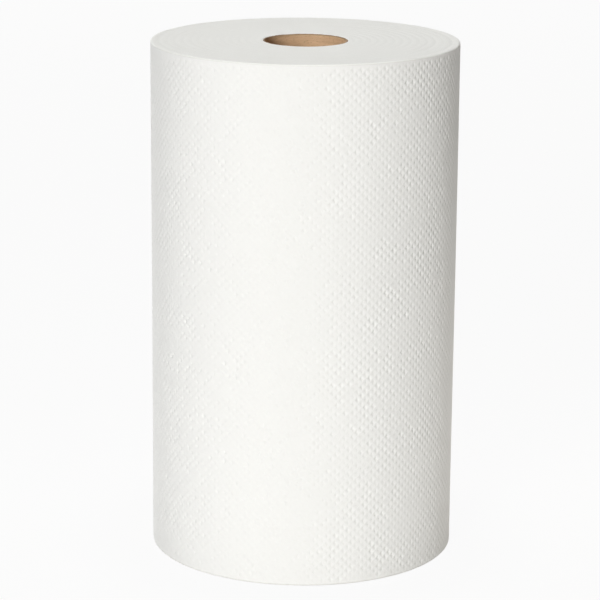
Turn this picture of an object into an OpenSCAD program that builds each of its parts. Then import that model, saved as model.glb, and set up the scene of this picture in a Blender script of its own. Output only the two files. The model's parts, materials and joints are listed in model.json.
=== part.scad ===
// Paper towel roll: one long sheet of towel paper, wound on a card tube.
// Millimetres, +Z up. The origin is on the tube's axis, in the end face that the roll stands on.

/* [Towel] */
// Width of the sheet, which is the height of the standing roll
sheet_width = 279; // [150:1:320]
// Diameter of the roll, measured over the loose end of the sheet
roll_diameter = 166; // [90:1:220]
// Thickness of one turn of the sheet as it lies in the roll
sheet_thickness = 0.36; // [0.15:0.01:0.6]
// Where the loose end of the sheet lies, in degrees from +X towards +Y
tail_angle = 65; // [0:1:359]

/* [Core tube] */
// Inside diameter of the card tube
core_bore = 44; // [25:0.5:60]
// Thickness of the card
core_wall = 0.8; // [0.4:0.1:2]
// Gap between the tube and the first turn of the sheet
core_gap = 0.05; // [0.02:0.01:0.2]

/* [Turns on the end faces] */
// Turns from one sunk band to the next
band_pitch_turns = 12; // [6:1:30]
// Turns that sit back together in a sunk band
band_turns = 2; // [2:1:4]
// Depth of a sunk band below the end face
band_depth = 0.25; // [0.1:0.05:1]

/* [Hidden] */
$fn = 180;

paper_colour = [0.96, 0.96, 0.94];
card_colour = [0.76, 0.62, 0.47];

core_bore_radius = core_bore / 2;
core_radius = core_bore_radius + core_wall;
winding_radius = core_radius + core_gap;

// The sheet's end stands a quarter of a sheet outside the mean radius, as in wound_outline()
tail_radius = roll_diameter / 2 + sheet_thickness / 4;

band_pitch = band_pitch_turns * sheet_thickness;
band_width = band_turns * sheet_thickness;
// The innermost turns stay whole beside the tube
band_room = tail_radius - winding_radius - band_width - 2 * sheet_thickness;
band_count = floor(band_room / band_pitch);

// How far a cutting solid stands out of the face that it cuts
cut_margin = 1;

// Half of a disc, on the +Y side of the X axis, with its centre moved along X
module half_disc(radius, centre_x) {
    intersection() {
        translate([centre_x, 0]) circle(r = radius);
        translate([-2 * radius, 0]) square([4 * radius, 2 * radius]);
    }
}

// Outline of a wound sheet whose end stands at the given radius. Two half discs make the
// spiral: their centres lie a quarter of a sheet either side of the axis and their radii
// differ by half a sheet, so they run into each other on one side and leave a step of one
// sheet, which is the sheet's end, on the other.
module wound_outline(end_radius) {
    centre_x = sheet_thickness / 4;
    rotate(tail_angle) {
        half_disc(end_radius - centre_x, centre_x);
        mirror([0, 1]) half_disc(end_radius - 3 * centre_x, -centre_x);
    }
}

// Outline of neighbouring turns that sit back together
module band_outline(end_radius) {
    difference() {
        wound_outline(end_radius);
        wound_outline(end_radius - band_width);
    }
}

// Cutters that sink the bands into an end face that looks down
module sunk_bands() {
    for (i = [1 : 1 : band_count])
        translate([0, 0, -cut_margin])
            linear_extrude(band_depth + cut_margin)
                band_outline(tail_radius - i * band_pitch);
}

// Round hole through both end faces
module through_hole(radius) {
    translate([0, 0, -cut_margin])
        cylinder(r = radius, h = sheet_width + 2 * cut_margin);
}

// The whole sheet as it is wound: its turns lie tight on each other and make one solid
module towel_web() {
    color(paper_colour)
        difference() {
            linear_extrude(sheet_width) wound_outline(tail_radius);
            through_hole(winding_radius);
            sunk_bands();
            translate([0, 0, sheet_width]) mirror([0, 0, 1]) sunk_bands();
        }
}

// Card tube that the sheet is wound on, cut off flush with the sheet's edges
module core_tube() {
    color(card_colour)
        difference() {
            cylinder(r = core_radius, h = sheet_width);
            through_hole(core_bore_radius);
        }
}

towel_web();
core_tube();
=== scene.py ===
"""The looks of the paper towel roll, in metres and in the part's own frame, +Z up.

The wound sheet is one embossed mesh and the card tube is another. Each takes its solid's place.
"""

import json
import math

import bpy
import numpy as np
from mathutils import Matrix, Vector


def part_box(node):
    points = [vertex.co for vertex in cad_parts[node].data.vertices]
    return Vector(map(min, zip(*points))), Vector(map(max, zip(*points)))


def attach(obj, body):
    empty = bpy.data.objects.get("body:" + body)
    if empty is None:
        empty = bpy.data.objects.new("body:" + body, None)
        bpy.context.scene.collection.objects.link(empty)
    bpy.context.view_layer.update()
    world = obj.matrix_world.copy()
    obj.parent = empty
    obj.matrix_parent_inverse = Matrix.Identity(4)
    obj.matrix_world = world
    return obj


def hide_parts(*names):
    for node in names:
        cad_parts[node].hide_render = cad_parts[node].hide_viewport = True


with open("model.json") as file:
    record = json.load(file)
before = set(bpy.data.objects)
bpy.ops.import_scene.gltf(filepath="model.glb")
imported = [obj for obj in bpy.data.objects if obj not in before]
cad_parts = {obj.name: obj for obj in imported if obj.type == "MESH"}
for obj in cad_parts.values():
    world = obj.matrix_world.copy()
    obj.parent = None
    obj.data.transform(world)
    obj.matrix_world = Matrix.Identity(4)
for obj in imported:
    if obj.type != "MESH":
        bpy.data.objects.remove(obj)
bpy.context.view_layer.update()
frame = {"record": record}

FULL_TURN = 2 * math.pi
QUARTER_TURN = math.pi / 2
MILLIMETRES_PER_METRE = 1000

# Sizes that come from the solids and from the record's mounts. The roll is a spiral, so its radius
# is half of the mean of its two widths.
WEB_LOW, WEB_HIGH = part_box("towel_web")
_, CORE_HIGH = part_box("core_tube")
MOUNTS = {mount["name"]: mount for mount in frame["record"]["mounts"]}
HEIGHT = WEB_HIGH.z
ROLL_RADIUS = (WEB_HIGH.x - WEB_LOW.x + WEB_HIGH.y - WEB_LOW.y) / 4
CORE_RADIUS = CORE_HIGH.x
CORE_BORE_RADIUS = MOUNTS["core_bore"]["dims"]["r_mm"] / MILLIMETRES_PER_METRE

# The wound sheet: its thickness as it lies in the roll, its loose end, which stands a quarter of a
# sheet outside the mean radius, and its first turn, which lies just clear of the tube
SHEET = 0.00036
TAIL_ANGLE = math.radians(65)
TAIL_RADIUS = ROLL_RADIUS + SHEET / 4
WINDING_GAP = 0.00005
WINDING_RADIUS = CORE_RADIUS + WINDING_GAP

# The loose end: torn in small teeth, with a short slope down to the turn below
TAIL_TOOTH = 0.0005
TAIL_SLOPE = 0.00025
# How far the outer turn goes round, from the loose end to the foot of that slope
WALL_TURN = FULL_TURN - TAIL_SLOPE / ROLL_RADIUS

# The loose end is lifted a little. The lift fades along the sheet and waves up the roll, and the
# wave is in radians to the metre.
TAIL_LIFT = 0.0007
TAIL_LIFT_REACH = 0.010
TAIL_LIFT_SWING = 0.4
TAIL_LIFT_WAVE = 31
TAIL_LIFT_START = 1.2

# Emboss: staggered dots, pressed in between raised pillows. Dots and pillows take turns along every
# column and every row of the grid.
DOTS_AROUND = 115
DOT_ROWS = 62
GRID_COLUMNS = 2 * DOTS_AROUND
GRID_ROWS = 2 * DOT_ROWS
EMBOSS_DEPTH = 0.00026
EMBOSS_VALLEY_POWER = 2.5
# Where the emboss is steepest, as a share of the way from a pillow to a dot
STEEPEST_PLACE = 0.7
# Near the rims the emboss fades to this share of its depth
EMBOSS_AT_RIM = 0.35
EMBOSS_FADE_REACH = 0.003

# Unevenness of the emboss: its depth differs from dot to dot and from patch to patch, and the dots
# stray from their places. Each has its steps of the grid from one random value to the next.
DOT_UNEVENNESS = 0.6
DOT_STEPS = 1
PATCH_UNEVENNESS = 0.4
PATCH_STEPS = 5
DOT_SHIFT = 0.0005
DOT_SHIFT_STEPS = 1.5

# Soft shape of the roll: round rims and a slow unevenness of the wall. Each slow wave has a count
# of waves round the roll, a slant in radians to the metre of height, and an angle that it starts at.
RIM_RADIUS = 0.0009
RIM_STEPS = 3
RIM_INNER_INSET = 2 * RIM_RADIUS
SLOW_WAVE_HEIGHT = 0.00018
SLOW_WAVES = [(2, 9, 0.4), (3, -14, 2.1), (5, 23, 4.0)]

# Distance over which the wall's slopes are measured
SLOPE_STEP = 0.00005

# Turns on the end faces: some sit back together in sunk bands, and those beside the tube stay whole
BAND_PITCH_TURNS = 12
BAND_TURNS = 2
WHOLE_TURNS = 2
BAND_PITCH = BAND_PITCH_TURNS * SHEET
BAND_WIDTH = BAND_TURNS * SHEET
BAND_ROOM = TAIL_RADIUS - WINDING_RADIUS - BAND_WIDTH - WHOLE_TURNS * SHEET
BAND_COUNT = int(BAND_ROOM / BAND_PITCH)
BAND_HALF_GROOVE = 0.0006
BAND_DEPTH = 0.00016
# Each band's own depth lies between this share and the whole, and it swings as the band goes round
BAND_SHALLOWEST = 0.5
BAND_SWING = 0.25
BAND_SWINGS_AROUND = 2
FACE_UNEVENNESS = 0.00005
HOLE_EDGE_DROP = 0.0001
HOLE_EDGE_WIDTH = 0.0004
# Points along the wall's edge for each point along a ring of the end face
FACE_COARSENESS = 4

# Card tube: a strip wound in a helix, with its seam open by a hair. It is cut a little short, and
# the cut is frayed. Near each cut the card is painted dark: its dark cut edge and painted shade under
# the paper.
CORE_COLUMNS = 120
CORE_ROWS = 180
SEAM_TURNS = 3
SEAM_HALF_ANGLE = 0.02
SEAM_DEPTH = 0.00012
CARD_RECESS = 0.0001
CARD_EDGE = 0.00015
CARD_OUTER_EDGE = 2 * CARD_EDGE
# How far down the card the dark reaches: the cut edge, and painted shade of the gap under the paper's
# edge
CARD_CUT_AND_SHADE_REACH = 0.0007

# Faces that meet at more than this angle have a sharp edge between them
SHARP_ANGLE = math.radians(40)

RANDOM_SEED = 11
random_source = np.random.default_rng(RANDOM_SEED)


# Mesh helpers


def mix(first, second, share):
    """Goes from the first value to the second as the share goes from 0 to 1."""
    return first + (second - first) * share


def smooth_step(share):
    """Goes from 0 to 1 with no slope at either end."""
    return share * share * (3 - 2 * share)


def interleave(ends, middles):
    """Puts each middle between the two ends that it lies between."""
    row = np.empty(len(ends) + len(middles), dtype=np.asarray(ends).dtype)
    row[0::2] = ends
    row[1::2] = middles
    return row


class CylinderMesh:
    """Collects points that are given in cylinder coordinates, and the faces between them.

    Where a method takes a side, the faces look up for side 1 and down for side -1.
    """

    def __init__(self):
        self.points = []
        self.normals = []
        self.faces = []
        self.slots = []

    def add_points(self, radius, angle, height, normals=None):
        """Adds points and returns their numbers. A point with no normal takes it from its faces."""
        radius, angle, height = np.broadcast_arrays(radius, angle, height)
        first = len(self.points)
        x = radius * np.cos(angle)
        y = radius * np.sin(angle)
        places = np.stack([x.ravel(), y.ravel(), height.ravel()], axis=1)
        self.points.extend(places.tolist())
        self.normals.extend((np.zeros_like(places) if normals is None else normals).tolist())
        return np.arange(first, len(self.points)).reshape(radius.shape)

    def add_faces(self, corners, slot):
        """Adds one face for each place in the arrays of corner numbers."""
        faces = np.stack([np.ravel(corner) for corner in corners], axis=1).tolist()
        self.faces.extend(faces)
        self.slots.extend([slot] * len(faces))

    def join(self, lower, upper, slot):
        """Joins two closed rings with faces that look outwards when upper lies above lower."""
        self.add_faces([lower, np.roll(lower, -1), np.roll(upper, -1), upper], slot)

    def join_inwards(self, outer, inner, slot, side):
        """Joins a closed ring to one inside it."""
        self.join(*(outer, inner)[::side], slot)

    def join_coarser(self, fine, coarse, slot, side):
        """Joins a closed ring to one inside it that has fewer points."""
        share = FACE_COARSENESS
        corners = [fine[start::share][: len(coarse) - 1] for start in range(share)]
        corners += [fine[share::share], coarse[1:], coarse[:-1]]
        self.add_faces(corners[::side], slot)
        self.add_faces([fine[-1:], fine[:1], coarse[:1], coarse[-1:]][::side], slot)

    def build(self, name, materials):
        """Makes the object, with smooth faces, sharp edges and the normals that were given."""
        mesh = bpy.data.meshes.new(name)
        mesh.from_pydata(self.points, [], self.faces)
        for material in materials:
            mesh.materials.append(material)
        mesh.polygons.foreach_set("material_index", self.slots)
        mesh.shade_smooth()
        mesh.set_sharp_from_angle(angle=SHARP_ANGLE)
        mesh.validate()
        if np.any(self.normals):
            mesh.normals_split_custom_set_from_vertices(self.normals)
        piece = bpy.data.objects.new(name, mesh)
        bpy.context.scene.collection.objects.link(piece)
        return piece


# Node helpers


def put(tree, value, socket):
    """Links an output to a socket, or sets the socket to a plain value."""
    if isinstance(value, bpy.types.NodeSocket):
        tree.links.new(value, socket)
    else:
        socket.default_value = value


def calculate(tree, operation, *operands):
    """One step of arithmetic on outputs or plain numbers."""
    node = tree.nodes.new("ShaderNodeMath")
    node.operation = operation
    for operand, socket in zip(operands, node.inputs):
        put(tree, operand, socket)
    return node.outputs["Value"]


def wave_from_zero(tree, angle):
    """A cosine brought to the range from 0 to 1."""
    return calculate(tree, "MULTIPLY_ADD", calculate(tree, "COSINE", angle), 0.5, 0.5)


def noise(tree, scale, detail, roughness):
    """Noise from 0 to 1. The scale is in waves to the metre for each axis."""
    coordinates = tree.nodes.new("ShaderNodeTexCoord")
    mapping = tree.nodes.new("ShaderNodeMapping")
    mapping.inputs["Scale"].default_value = scale
    tree.links.new(coordinates.outputs["Object"], mapping.inputs["Vector"])
    node = tree.nodes.new("ShaderNodeTexNoise")
    tree.links.new(mapping.outputs["Vector"], node.inputs["Vector"])
    node.inputs["Scale"].default_value = 1.0
    node.inputs["Detail"].default_value = detail
    node.inputs["Roughness"].default_value = roughness
    return node.outputs["Fac"]


def cylinder_position(tree):
    """Angle from the sheet's loose end, radius and height on the object."""
    coordinates = tree.nodes.new("ShaderNodeTexCoord")
    axes = tree.nodes.new("ShaderNodeSeparateXYZ")
    tree.links.new(coordinates.outputs["Object"], axes.inputs["Vector"])
    x, y, z = axes.outputs
    angle = calculate(tree, "SUBTRACT", calculate(tree, "ARCTAN2", y, x), TAIL_ANGLE)
    x_squared = calculate(tree, "MULTIPLY", x, x)
    y_squared = calculate(tree, "MULTIPLY", y, y)
    radius = calculate(tree, "SQRT", calculate(tree, "ADD", x_squared, y_squared))
    return angle, radius, z


def blend_colours(tree, factor, first, second):
    """Goes from the first colour to the second as the factor goes from 0 to 1."""
    node = tree.nodes.new("ShaderNodeMix")
    node.data_type = "RGBA"
    put(tree, factor, node.inputs["Factor"])
    put(tree, first, node.inputs["A"])
    put(tree, second, node.inputs["B"])
    return node.outputs["Result"]


def blend_shaders(tree, factor, first, second):
    """Goes from the first shader to the second as the factor goes from 0 to 1."""
    node = tree.nodes.new("ShaderNodeMixShader")
    _, first_socket, second_socket = node.inputs
    tree.links.new(factor, node.inputs["Fac"])
    tree.links.new(first, first_socket)
    tree.links.new(second, second_socket)
    return node.outputs["Shader"]


def add_bump(tree, pattern, height, strength, normal=None):
    """Raises a pattern to a height in metres, over the bumps that the normal already has."""
    node = tree.nodes.new("ShaderNodeBump")
    node.inputs["Strength"].default_value = strength
    node.inputs["Distance"].default_value = height
    tree.links.new(pattern, node.inputs["Height"])
    if normal is not None:
        tree.links.new(normal, node.inputs["Normal"])
    return node.outputs["Normal"]


def new_material(name, roughness, specular):
    """A material with a plain finish, its node tree and its shader."""
    material = bpy.data.materials.new(name)
    material.use_nodes = True
    shader = material.node_tree.nodes["Principled BSDF"]
    shader.inputs["Roughness"].default_value = roughness
    shader.inputs["Specular IOR Level"].default_value = specular
    return material, material.node_tree, shader


# Materials

PAPER_COLOUR = (0.905, 0.909, 0.893, 1.0)
PAPER_SHADE_COLOUR = (0.885, 0.888, 0.87, 1.0)
PAPER_CUT_COLOUR = (0.86, 0.862, 0.83, 1.0)
# Painted shade: the end faces are painted greyer in the gaps between the turns
PAPER_GAP_PAINTED_SHADE_COLOUR = (0.78, 0.778, 0.745, 1.0)
CARD_COLOUR = (0.84, 0.586, 0.365, 1.0)
CARD_FIBRE_COLOUR = (0.65, 0.437, 0.26, 1.0)
CARD_FLECK_COLOUR = (0.30, 0.19, 0.10, 1.0)
# Dark of the card's cut edge, with painted shade of the gap under the paper's edge
CARD_CUT_AND_SHADE_COLOUR = (0.24, 0.165, 0.10, 1.0)

# Noise patterns: waves to the metre along each axis, layers of detail and weight of the fine layers
PAPER_CLOUDS = {"scale": (500, 500, 500), "detail": 3.0, "roughness": 0.6}
PAPER_CREPE = {"scale": (2600, 2600, 700), "detail": 3.0, "roughness": 0.5}
PAPER_FIBRES = {"scale": (5200, 5200, 5200), "detail": 3.0, "roughness": 0.6}
TURN_WOBBLE = {"scale": (60, 60, 60), "detail": 2.0, "roughness": 0.5}
CUT_PATCHES = {"scale": (1500, 1500, 1500), "detail": 3.0, "roughness": 0.5}
CUT_FIBRES = {"scale": (4200, 4200, 4200), "detail": 3.0, "roughness": 0.6}
CARD_STREAKS = {"scale": (90, 90, 700), "detail": 4.0, "roughness": 0.65}
CARD_FLECKS = {"scale": (700, 700, 2600), "detail": 3.0, "roughness": 0.7}
CARD_GRAIN = {"scale": (1200, 1200, 3600), "detail": 3.0, "roughness": 0.6}

# Bumps: heights in metres, and how strongly they show
PAPER_CREPE_HEIGHT = 0.00012
PAPER_FIBRE_HEIGHT = 0.00006
CUT_EDGE_HEIGHT = 0.00006
CUT_EDGE_STRENGTH = 0.35
CUT_FIBRE_HEIGHT = 0.00008
CARD_GRAIN_HEIGHT = 0.0001
BUMP_STRENGTH = 0.5

# How far the turns' edges wander, in radians of one turn's wave
TURN_WOBBLE_ANGLE = 5.0
# How streaks and flecks are drawn from their noise
STREAK_CONTRAST = 2.2
STREAK_OFFSET = -0.6
FLECK_THRESHOLD = 0.62
FLECK_STRENGTH = 0.45


def make_wall_paper():
    """Soft crepe paper: clouded a little, with fine ridges along the axis and loose fibres."""
    material, tree, shader = new_material("towel_paper_wall", roughness=0.95, specular=0.15)
    colour = blend_colours(tree, noise(tree, **PAPER_CLOUDS), PAPER_SHADE_COLOUR, PAPER_COLOUR)
    tree.links.new(colour, shader.inputs["Base Color"])
    crepe = add_bump(tree, noise(tree, **PAPER_CREPE), PAPER_CREPE_HEIGHT, BUMP_STRENGTH)
    fibres = add_bump(tree, noise(tree, **PAPER_FIBRES), PAPER_FIBRE_HEIGHT, BUMP_STRENGTH, crepe)
    tree.links.new(fibres, shader.inputs["Normal"])
    return material


def make_end_paper():
    """Cut edges of the turns: a fine spiral of edges, with painted shade in the gaps between them."""
    material, tree, shader = new_material("towel_paper_end", roughness=0.97, specular=0.1)
    angle, radius, _ = cylinder_position(tree)
    turns = calculate(tree, "MULTIPLY_ADD", radius, FULL_TURN / SHEET, angle)
    wobble = calculate(tree, "MULTIPLY", noise(tree, **TURN_WOBBLE), TURN_WOBBLE_ANGLE)
    edges = wave_from_zero(tree, calculate(tree, "ADD", turns, wobble))
    # The gaps between the turns are painted greyer in random patches, as painted shade
    painted_gap_shade = calculate(tree, "MULTIPLY", edges, noise(tree, **CUT_PATCHES))
    colour = blend_colours(tree, painted_gap_shade, PAPER_CUT_COLOUR, PAPER_GAP_PAINTED_SHADE_COLOUR)
    tree.links.new(colour, shader.inputs["Base Color"])
    lines = add_bump(tree, edges, CUT_EDGE_HEIGHT, CUT_EDGE_STRENGTH)
    fibres = add_bump(tree, noise(tree, **CUT_FIBRES), CUT_FIBRE_HEIGHT, BUMP_STRENGTH, lines)
    tree.links.new(fibres, shader.inputs["Normal"])
    return material


def share_of_cut_and_shade(tree, height):
    """Goes from 0 to 1 over the last stretch before either end of the tube, where the dark cut edge and
    the painted shade are drawn.
    """
    from_middle = calculate(tree, "ABSOLUTE", calculate(tree, "SUBTRACT", height, HEIGHT / 2))
    into_cut = calculate(tree, "SUBTRACT", from_middle, HEIGHT / 2 - CARD_RECESS - CARD_CUT_AND_SHADE_REACH)
    not_before = calculate(tree, "MAXIMUM", into_cut, 0.0)
    not_past = calculate(tree, "MINIMUM", not_before, CARD_CUT_AND_SHADE_REACH)
    return calculate(tree, "DIVIDE", not_past, CARD_CUT_AND_SHADE_REACH)


def make_card():
    """Brown kraft card: long fibres round the tube, darker flecks, and a dark band at each end that is
    partly its dark cut edge and partly painted shade under the paper's edge.
    """
    material, tree, shader = new_material("core_kraft_card", roughness=0.85, specular=0.2)
    _, _, height = cylinder_position(tree)
    streaks = noise(tree, **CARD_STREAKS)
    streak_share = calculate(tree, "MULTIPLY_ADD", streaks, STREAK_CONTRAST, STREAK_OFFSET)
    streaked = blend_colours(tree, streak_share, CARD_FIBRE_COLOUR, CARD_COLOUR)
    flecks = calculate(tree, "GREATER_THAN", noise(tree, **CARD_FLECKS), FLECK_THRESHOLD)
    fleck_share = calculate(tree, "MULTIPLY", flecks, FLECK_STRENGTH)
    flecked = blend_colours(tree, fleck_share, streaked, CARD_FLECK_COLOUR)
    # Near each end the card is painted dark: partly its cut edge, partly painted shade under the
    # paper's edge
    colour = blend_colours(tree, share_of_cut_and_shade(tree, height), flecked, CARD_CUT_AND_SHADE_COLOUR)
    tree.links.new(colour, shader.inputs["Base Color"])
    grain = add_bump(tree, noise(tree, **CARD_GRAIN), CARD_GRAIN_HEIGHT, BUMP_STRENGTH)
    tree.links.new(grain, shader.inputs["Normal"])
    return material


# Wound sheet


class WallNoise:
    """Random values from -1 to 1 over the wall, blended smoothly and closed round the roll."""

    def __init__(self, grid_steps):
        """Takes how many steps of the emboss grid lie between one random value and the next."""
        self.columns = round(GRID_COLUMNS / grid_steps)
        self.rows = round(GRID_ROWS / grid_steps)
        self.values = random_source.uniform(-1, 1, (self.rows + 2, self.columns))

    def at(self, from_tail, height):
        """Values at an angle from the loose end and a height."""
        across = from_tail / FULL_TURN * self.columns
        upwards = np.clip(height / HEIGHT, 0, 1) * self.rows
        column = np.floor(across).astype(int)
        row = np.floor(upwards).astype(int)
        to_right = smooth_step(across - column)
        to_top = smooth_step(upwards - row)
        left = column % self.columns
        right = (column + 1) % self.columns
        lower = mix(self.values[row, left], self.values[row, right], to_right)
        upper = mix(self.values[row + 1, left], self.values[row + 1, right], to_right)
        return mix(lower, upper, to_top)


dot_noise = WallNoise(DOT_STEPS)
patch_noise = WallNoise(PATCH_STEPS)
shift_across = WallNoise(DOT_SHIFT_STEPS)
shift_upwards = WallNoise(DOT_SHIFT_STEPS)


def slow_waves(from_tail, height):
    """Slight unevenness of a soft roll, from -1 to 1."""
    waves = [np.sin(around * from_tail + slant * height + start) for around, slant, start in SLOW_WAVES]
    return sum(waves) / len(waves)


def dot_wave(height):
    """Turns the height into an angle that goes once round for each row of dots."""
    return FULL_TURN * DOT_ROWS * (height - RIM_RADIUS) / (HEIGHT - 2 * RIM_RADIUS)


def smooth_radius(from_tail, height):
    """Outer turn without its emboss. The angle runs from the loose end, once round the roll."""
    spiral = TAIL_RADIUS - SHEET * from_tail / FULL_TURN
    lift_fade = np.exp(-np.abs(from_tail) * ROLL_RADIUS / TAIL_LIFT_REACH)
    lift_wave = np.sin(TAIL_LIFT_WAVE * height + TAIL_LIFT_START)
    lift = TAIL_LIFT * lift_fade * (1 - TAIL_LIFT_SWING + TAIL_LIFT_SWING * lift_wave)
    return spiral + lift + SLOW_WAVE_HEIGHT * slow_waves(from_tail, height)


def pressed_in(from_tail, height):
    """How far the emboss is pressed in: 0 on the pillows and about 1 on the dots."""
    moved_angle = from_tail + DOT_SHIFT / ROLL_RADIUS * shift_across.at(from_tail, height)
    moved_height = height + DOT_SHIFT * shift_upwards.at(from_tail, height)
    wave = np.cos(DOTS_AROUND * moved_angle) * np.cos(dot_wave(moved_height))
    pressed = ((1 - wave) / 2) ** EMBOSS_VALLEY_POWER
    dots = 1 + DOT_UNEVENNESS * dot_noise.at(from_tail, height)
    patches = 1 + PATCH_UNEVENNESS * patch_noise.at(from_tail, height)
    uneven = dots * patches
    to_rim = np.minimum(height, HEIGHT - height)
    fade = np.clip(to_rim / EMBOSS_FADE_REACH, EMBOSS_AT_RIM, 1)
    return pressed * uneven * fade


def wall_radius(from_tail, height):
    """Outer turn with its emboss, whose depth is measured down from the pillows."""
    return smooth_radius(from_tail, height) - EMBOSS_DEPTH * pressed_in(from_tail, height)


def wall_normals(from_tail, height):
    """Normals of the embossed wall, from its slopes along and across the sheet."""
    radius = wall_radius(from_tail, height)
    step = SLOPE_STEP
    turn = step / ROLL_RADIUS
    along = wall_radius(from_tail + turn, height) - wall_radius(from_tail - turn, height)
    upwards = wall_radius(from_tail, height + step) - wall_radius(from_tail, height - step)
    slope_along = along / (2 * turn) / radius
    slope_upwards = upwards / (2 * step)
    angle = from_tail + TAIL_ANGLE
    x = np.cos(angle) + slope_along * np.sin(angle)
    y = np.sin(angle) - slope_along * np.cos(angle)
    normals = np.stack([x.ravel(), y.ravel(), -slope_upwards.ravel()], axis=1)
    return normals / np.linalg.norm(normals, axis=1, keepdims=True)


def add_wall_points(web, from_tail, height):
    """Adds points of the wall and returns their numbers. The loose end is torn in teeth."""
    torn = TAIL_TOOTH / ROLL_RADIUS * (1 - np.cos(dot_wave(height))) / 2
    places = np.where(from_tail > 0, from_tail, torn)
    normals = wall_normals(places, height)
    at_border = (from_tail == 0) | (from_tail == WALL_TURN)
    normals[at_border.ravel()] = 0
    return web.add_points(wall_radius(places, height), places + TAIL_ANGLE, height, normals)


def add_wall(web, slot):
    """Adds the outer turn and returns the points of its lower and upper edge, and their angles.

    The grid has a point on every dot, on every pillow and on the slopes between them. Every dot
    is a pit of its own, and ridges run from pillow to pillow around it.
    """
    angles = np.linspace(0, WALL_TURN, GRID_COLUMNS + 1)
    heights = np.linspace(RIM_RADIUS, HEIGHT - RIM_RADIUS, GRID_ROWS + 1)
    angle, height = np.meshgrid(angles, heights)
    column, row = np.meshgrid(np.arange(len(angles)), np.arange(len(heights)))
    on_dot = (column + row) % 2 == 1
    to_slope = np.where(on_dot, 1 - STEEPEST_PLACE, STEEPEST_PLACE)
    angle_across = mix(angle[:, :-1], angle[:, 1:], to_slope[:, :-1])
    height_upwards = mix(height[:-1], height[1:], to_slope[:-1])
    corners = add_wall_points(web, angle, height)
    across = add_wall_points(web, angle_across, height[:, :-1])
    upwards = add_wall_points(web, angle[:-1], height_upwards)

    low_left, low_right = corners[:-1, :-1], corners[:-1, 1:]
    top_left, top_right = corners[1:, :-1], corners[1:, 1:]
    below, above = across[:-1], across[1:]
    left, right = upwards[:, :-1], upwards[:, 1:]

    def add_cells(cells, *grids):
        web.add_faces([grid[cells] for grid in grids], slot)

    dot_low_left = on_dot[:-1, :-1]
    add_cells(dot_low_left, low_left, below, left)
    add_cells(dot_low_left, top_right, above, right)
    add_cells(dot_low_left, below, low_right, top_left, left)
    add_cells(dot_low_left, above, top_left, low_right, right)
    dot_low_right = ~dot_low_left
    add_cells(dot_low_right, low_right, right, below)
    add_cells(dot_low_right, top_left, left, above)
    add_cells(dot_low_right, below, right, top_right, low_left)
    add_cells(dot_low_right, above, left, low_left, top_right)

    loose_end = interleave(corners[:, 0], upwards[:, 0])
    turn_below = interleave(corners[:, -1], upwards[:, -1])
    web.add_faces([turn_below[:-1], loose_end[:-1], loose_end[1:], turn_below[1:]], slot)
    lower_edge = interleave(corners[0], across[0])
    upper_edge = interleave(corners[-1], across[-1])
    return lower_edge, upper_edge, interleave(angles, angle_across[0])


def add_rim(web, wall_edge, angles, face, side, slot):
    """Rounds the wall's edge over to the end face and returns the last ring of points."""
    outline = smooth_radius(angles, face)
    rings = [wall_edge]
    for step in range(1, RIM_STEPS + 1):
        turn = QUARTER_TURN * step / RIM_STEPS
        inset = RIM_RADIUS * (1 - math.cos(turn))
        drop = RIM_RADIUS * (1 - math.sin(turn))
        rings.append(web.add_points(outline - inset, angles + TAIL_ANGLE, face - side * drop))
    for outer, inner in zip(rings, rings[1:]):
        web.join_inwards(outer, inner, slot, side)
    return rings[-1]


def add_end(web, wall_edge, angles, side, slot):
    """Adds an end face, from the wall's edge to the hole, and returns the points at the hole.

    It is the top for side 1 and the bottom for side -1.
    """
    face = HEIGHT if side > 0 else 0.0
    rim = add_rim(web, wall_edge, angles, face, side, slot)
    ring_angles = angles[::FACE_COARSENESS]

    def add_ring(radius, depth):
        return web.add_points(radius, ring_angles + TAIL_ANGLE, face - side * depth)

    rings = [add_ring(smooth_radius(ring_angles, face) - RIM_INNER_INSET, 0.0)]
    web.join_coarser(rim, rings[0], slot, side)
    for band in range(1, BAND_COUNT + 1):
        middle = TAIL_RADIUS - band * BAND_PITCH - BAND_WIDTH / 2
        start = random_source.uniform(0, FULL_TURN)
        swing = 1 - BAND_SWING + BAND_SWING * np.sin(BAND_SWINGS_AROUND * ring_angles + start)
        depth = BAND_DEPTH * random_source.uniform(BAND_SHALLOWEST, 1.0) * swing
        level = FACE_UNEVENNESS * random_source.uniform(0, 1)
        rings.append(add_ring(middle + BAND_HALF_GROOVE, level))
        rings.append(add_ring(middle, level + depth))
        rings.append(add_ring(middle - BAND_HALF_GROOVE, level))
    rings.append(add_ring(WINDING_RADIUS + HOLE_EDGE_WIDTH, 0.0))
    rings.append(add_ring(WINDING_RADIUS, HOLE_EDGE_DROP))
    for outer, inner in zip(rings, rings[1:]):
        web.join_inwards(outer, inner, slot, side)
    return rings[-1]


def make_towel():
    """The wound sheet: its outer turn, both end faces and the hole."""
    wall_slot, end_slot = 0, 1
    web = CylinderMesh()
    lower_edge, upper_edge, angles = add_wall(web, wall_slot)
    top_hole = add_end(web, upper_edge, angles, 1, end_slot)
    bottom_hole = add_end(web, lower_edge, angles, -1, end_slot)
    web.join(top_hole, bottom_hole, end_slot)
    return web.build("towel_roll", [make_wall_paper(), make_end_paper()])


# Card tube


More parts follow.
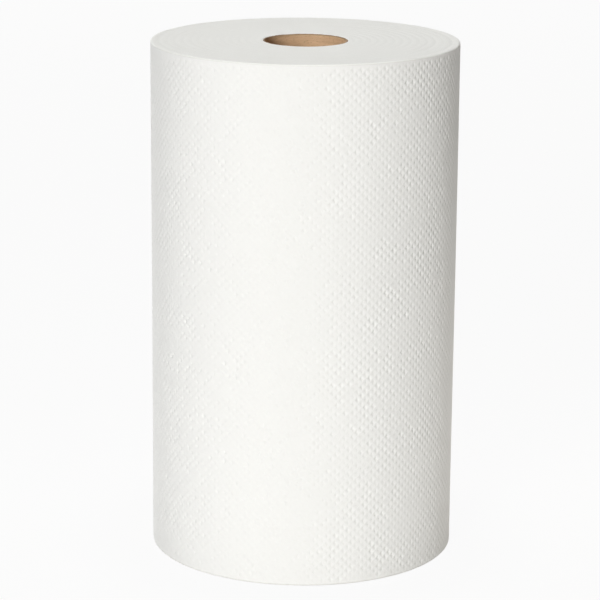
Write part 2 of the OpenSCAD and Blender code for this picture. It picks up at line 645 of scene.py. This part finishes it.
def make_core():
    """The card tube: its inside with the seam, a frayed cut at each end and a plain outside."""
    plain_angles = np.arange(1, CORE_COLUMNS) * FULL_TURN / CORE_COLUMNS
    angles = np.concatenate([[-SEAM_HALF_ANGLE, 0, SEAM_HALF_ANGLE], plain_angles])
    seam_column = 1
    slot = 0
    tube = CylinderMesh()

    def add_inner_ring(height):
        radius = np.full(len(angles), CORE_BORE_RADIUS)
        radius[seam_column] += SEAM_DEPTH
        return tube.add_points(radius, angles + SEAM_TURNS * FULL_TURN * height / HEIGHT, height)

    def add_frayed_ring(radius, face, side):
        fray = CARD_EDGE * random_source.uniform(0, 1, len(angles))
        return tube.add_points(radius, angles, face - side * fray)

    def add_cut(inner_edge, face, side):
        rings = [
            inner_edge,
            add_frayed_ring(CORE_BORE_RADIUS + CARD_EDGE, face, side),
            add_frayed_ring(CORE_RADIUS - CARD_EDGE, face, side),
            tube.add_points(CORE_RADIUS, angles, face - side * CARD_OUTER_EDGE),
        ]
        for inner, outer in zip(rings, rings[1:]):
            tube.join_inwards(outer, inner, slot, side)
        return rings[-1]

    top_face, bottom_face = HEIGHT - CARD_RECESS, CARD_RECESS
    heights = np.linspace(bottom_face + CARD_EDGE, top_face - CARD_EDGE, CORE_ROWS + 1)
    inside = [add_inner_ring(height) for height in heights]
    for lower, upper in zip(inside, inside[1:]):
        tube.join(upper, lower, slot)
    top_edge = add_cut(inside[-1], top_face, 1)
    bottom_edge = add_cut(inside[0], bottom_face, -1)
    tube.join(bottom_edge, top_edge, slot)
    return tube.build("card_tube", [make_card()])


# Stage, light and camera

FLOOR_HALF_WIDTH = 6.0
FLOOR_COLOUR = (0.70, 0.69, 0.67, 1.0)
# Share of plain white in what the viewer sees of the floor; the rest shows the shadow
FLOOR_GLOW = 0.94
ROOM_COLOUR = (1.0, 0.8, 0.7, 1.0)
ROOM_STRENGTH = 0.012
WHITE = (1.0, 1.0, 1.0, 1.0)

# Lamps: the key stands left of the viewer and shines into the tube. The front and left lamps stand
# level with the roll, so they light little but its wall. The foot lamps lie beside the roll and
# light its foot, as a bright floor does. Two lamps stand behind the roll and one hangs over it.
# Sideways is from the viewer towards the right and upwards is from the level of the roll's middle,
# both in degrees. Distance is from the roll's middle. Metres and watts.
LAMP_COLUMNS = ("name", "sideways", "upwards", "distance", "size", "power", "colour")
NEUTRAL = (1.0, 1.0, 1.0)
LAMPS = [
    ("key", -20, 14, 6.0, 1.2, 216, NEUTRAL),
    ("front", 23, 0.5, 6.0, 0.3, 109, (1.0, 0.98, 0.94)),
    ("left", -95, 0.5, 4.5, 0.3, 30, NEUTRAL),
    ("foot_right", 105, -18, 0.3, 0.08, 0.105, (1.0, 0.95, 0.89)),
    ("foot_left", -105, -18, 0.3, 0.08, 0.05, NEUTRAL),
    ("back_left", -155, 12, 4.5, 2.0, 80, NEUTRAL),
    ("back_right", 168, 12, 4.5, 2.0, 50, NEUTRAL),
    ("top", 0, 90, 0.74, 0.1, 2.2, NEUTRAL),
]

# Camera: fitted to the outline of the roll. The lens is in millimetres.
CAMERA_LENS = 158.9
CAMERA_PLACE = Vector((0.0, -1.4064, 0.4950))
CAMERA_AIM = Vector((-0.0019, 0.0, 0.1354))
CAMERA_ROLL = math.radians(0.45)


def seen_directly(tree):
    """1 for the camera's rays and for rays that a mirror or glass sends on, else 0."""
    light_path = tree.nodes.new("ShaderNodeLightPath")
    camera = light_path.outputs["Is Camera Ray"]
    glossy = light_path.outputs["Is Glossy Ray"]
    transmitted = light_path.outputs["Is Transmission Ray"]
    return calculate(tree, "MAXIMUM", camera, calculate(tree, "MAXIMUM", glossy, transmitted))


def make_floor_finish():
    """A matt floor that looks almost white and keeps a trace of the shadow."""
    material = bpy.data.materials.new("floor_white")
    material.use_nodes = True
    tree = material.node_tree
    tree.nodes.clear()
    matt = tree.nodes.new("ShaderNodeBsdfDiffuse")
    matt.inputs["Color"].default_value = FLOOR_COLOUR
    glow = tree.nodes.new("ShaderNodeEmission")
    glow.inputs["Strength"].default_value = 1.0
    glow_share = calculate(tree, "MULTIPLY", seen_directly(tree), FLOOR_GLOW)
    blended = blend_shaders(tree, glow_share, matt.outputs["BSDF"], glow.outputs["Emission"])
    output = tree.nodes.new("ShaderNodeOutputMaterial")
    tree.links.new(blended, output.inputs["Surface"])
    return material


def make_floor():
    """A large square that the roll stands on."""
    half = FLOOR_HALF_WIDTH
    corners = [(-half, -half, 0), (half, -half, 0), (half, half, 0), (-half, half, 0)]
    mesh = bpy.data.meshes.new("floor")
    mesh.from_pydata(corners, [], [(0, 1, 2, 3)])
    mesh.materials.append(make_floor_finish())
    floor = bpy.data.objects.new("floor", mesh)
    bpy.context.scene.collection.objects.link(floor)
    return floor


def make_room_light():
    """A room that looks white and gives only a dim, warm light."""
    world = bpy.data.worlds.new("white_room")
    world.use_nodes = True
    tree = world.node_tree
    tree.nodes.clear()
    dim = tree.nodes.new("ShaderNodeBackground")
    dim.inputs["Color"].default_value = ROOM_COLOUR
    dim.inputs["Strength"].default_value = ROOM_STRENGTH
    white = tree.nodes.new("ShaderNodeBackground")
    white.inputs["Color"].default_value = WHITE
    dim_output, white_output = dim.outputs["Background"], white.outputs["Background"]
    blended = blend_shaders(tree, seen_directly(tree), dim_output, white_output)
    output = tree.nodes.new("ShaderNodeOutputWorld")
    tree.links.new(blended, output.inputs["Surface"])
    bpy.context.scene.world = world


def make_lamp(name, sideways, upwards, distance, size, power, colour):
    """A square soft lamp that looks at the middle of the roll."""
    light = bpy.data.lights.new(name, "AREA")
    light.shape = "SQUARE"
    light.size = size
    light.energy = power
    light.color = colour
    side, rise = math.radians(sideways), math.radians(upwards)
    level = math.cos(rise)
    towards = Vector((math.sin(side) * level, -math.cos(side) * level, math.sin(rise)))
    lamp = bpy.data.objects.new(name, light)
    lamp.location = Vector((0, 0, HEIGHT / 2)) + distance * towards
    lamp.rotation_euler = towards.to_track_quat("Z", "Y").to_euler()
    bpy.context.scene.collection.objects.link(lamp)


def make_camera():
    """The camera, with its lens, place, aim and roll."""
    data = bpy.data.cameras.new("camera")
    data.lens = CAMERA_LENS
    camera = bpy.data.objects.new("camera", data)
    facing = (CAMERA_AIM - CAMERA_PLACE).to_track_quat("-Z", "Y").to_matrix().to_4x4()
    roll = Matrix.Rotation(CAMERA_ROLL, 4, "Z")
    camera.matrix_world = Matrix.Translation(CAMERA_PLACE) @ facing @ roll
    bpy.context.scene.collection.objects.link(camera)
    bpy.context.scene.camera = camera


make_camera()
make_room_light()
for lamp in LAMPS:
    make_lamp(**dict(zip(LAMP_COLUMNS, lamp)))
make_floor()

towel = make_towel()
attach(towel, "root")
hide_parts("towel_web")

core = make_core()
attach(core, "root")
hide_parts("core_tube")

bpy.context.scene.view_settings.view_transform = "Standard"
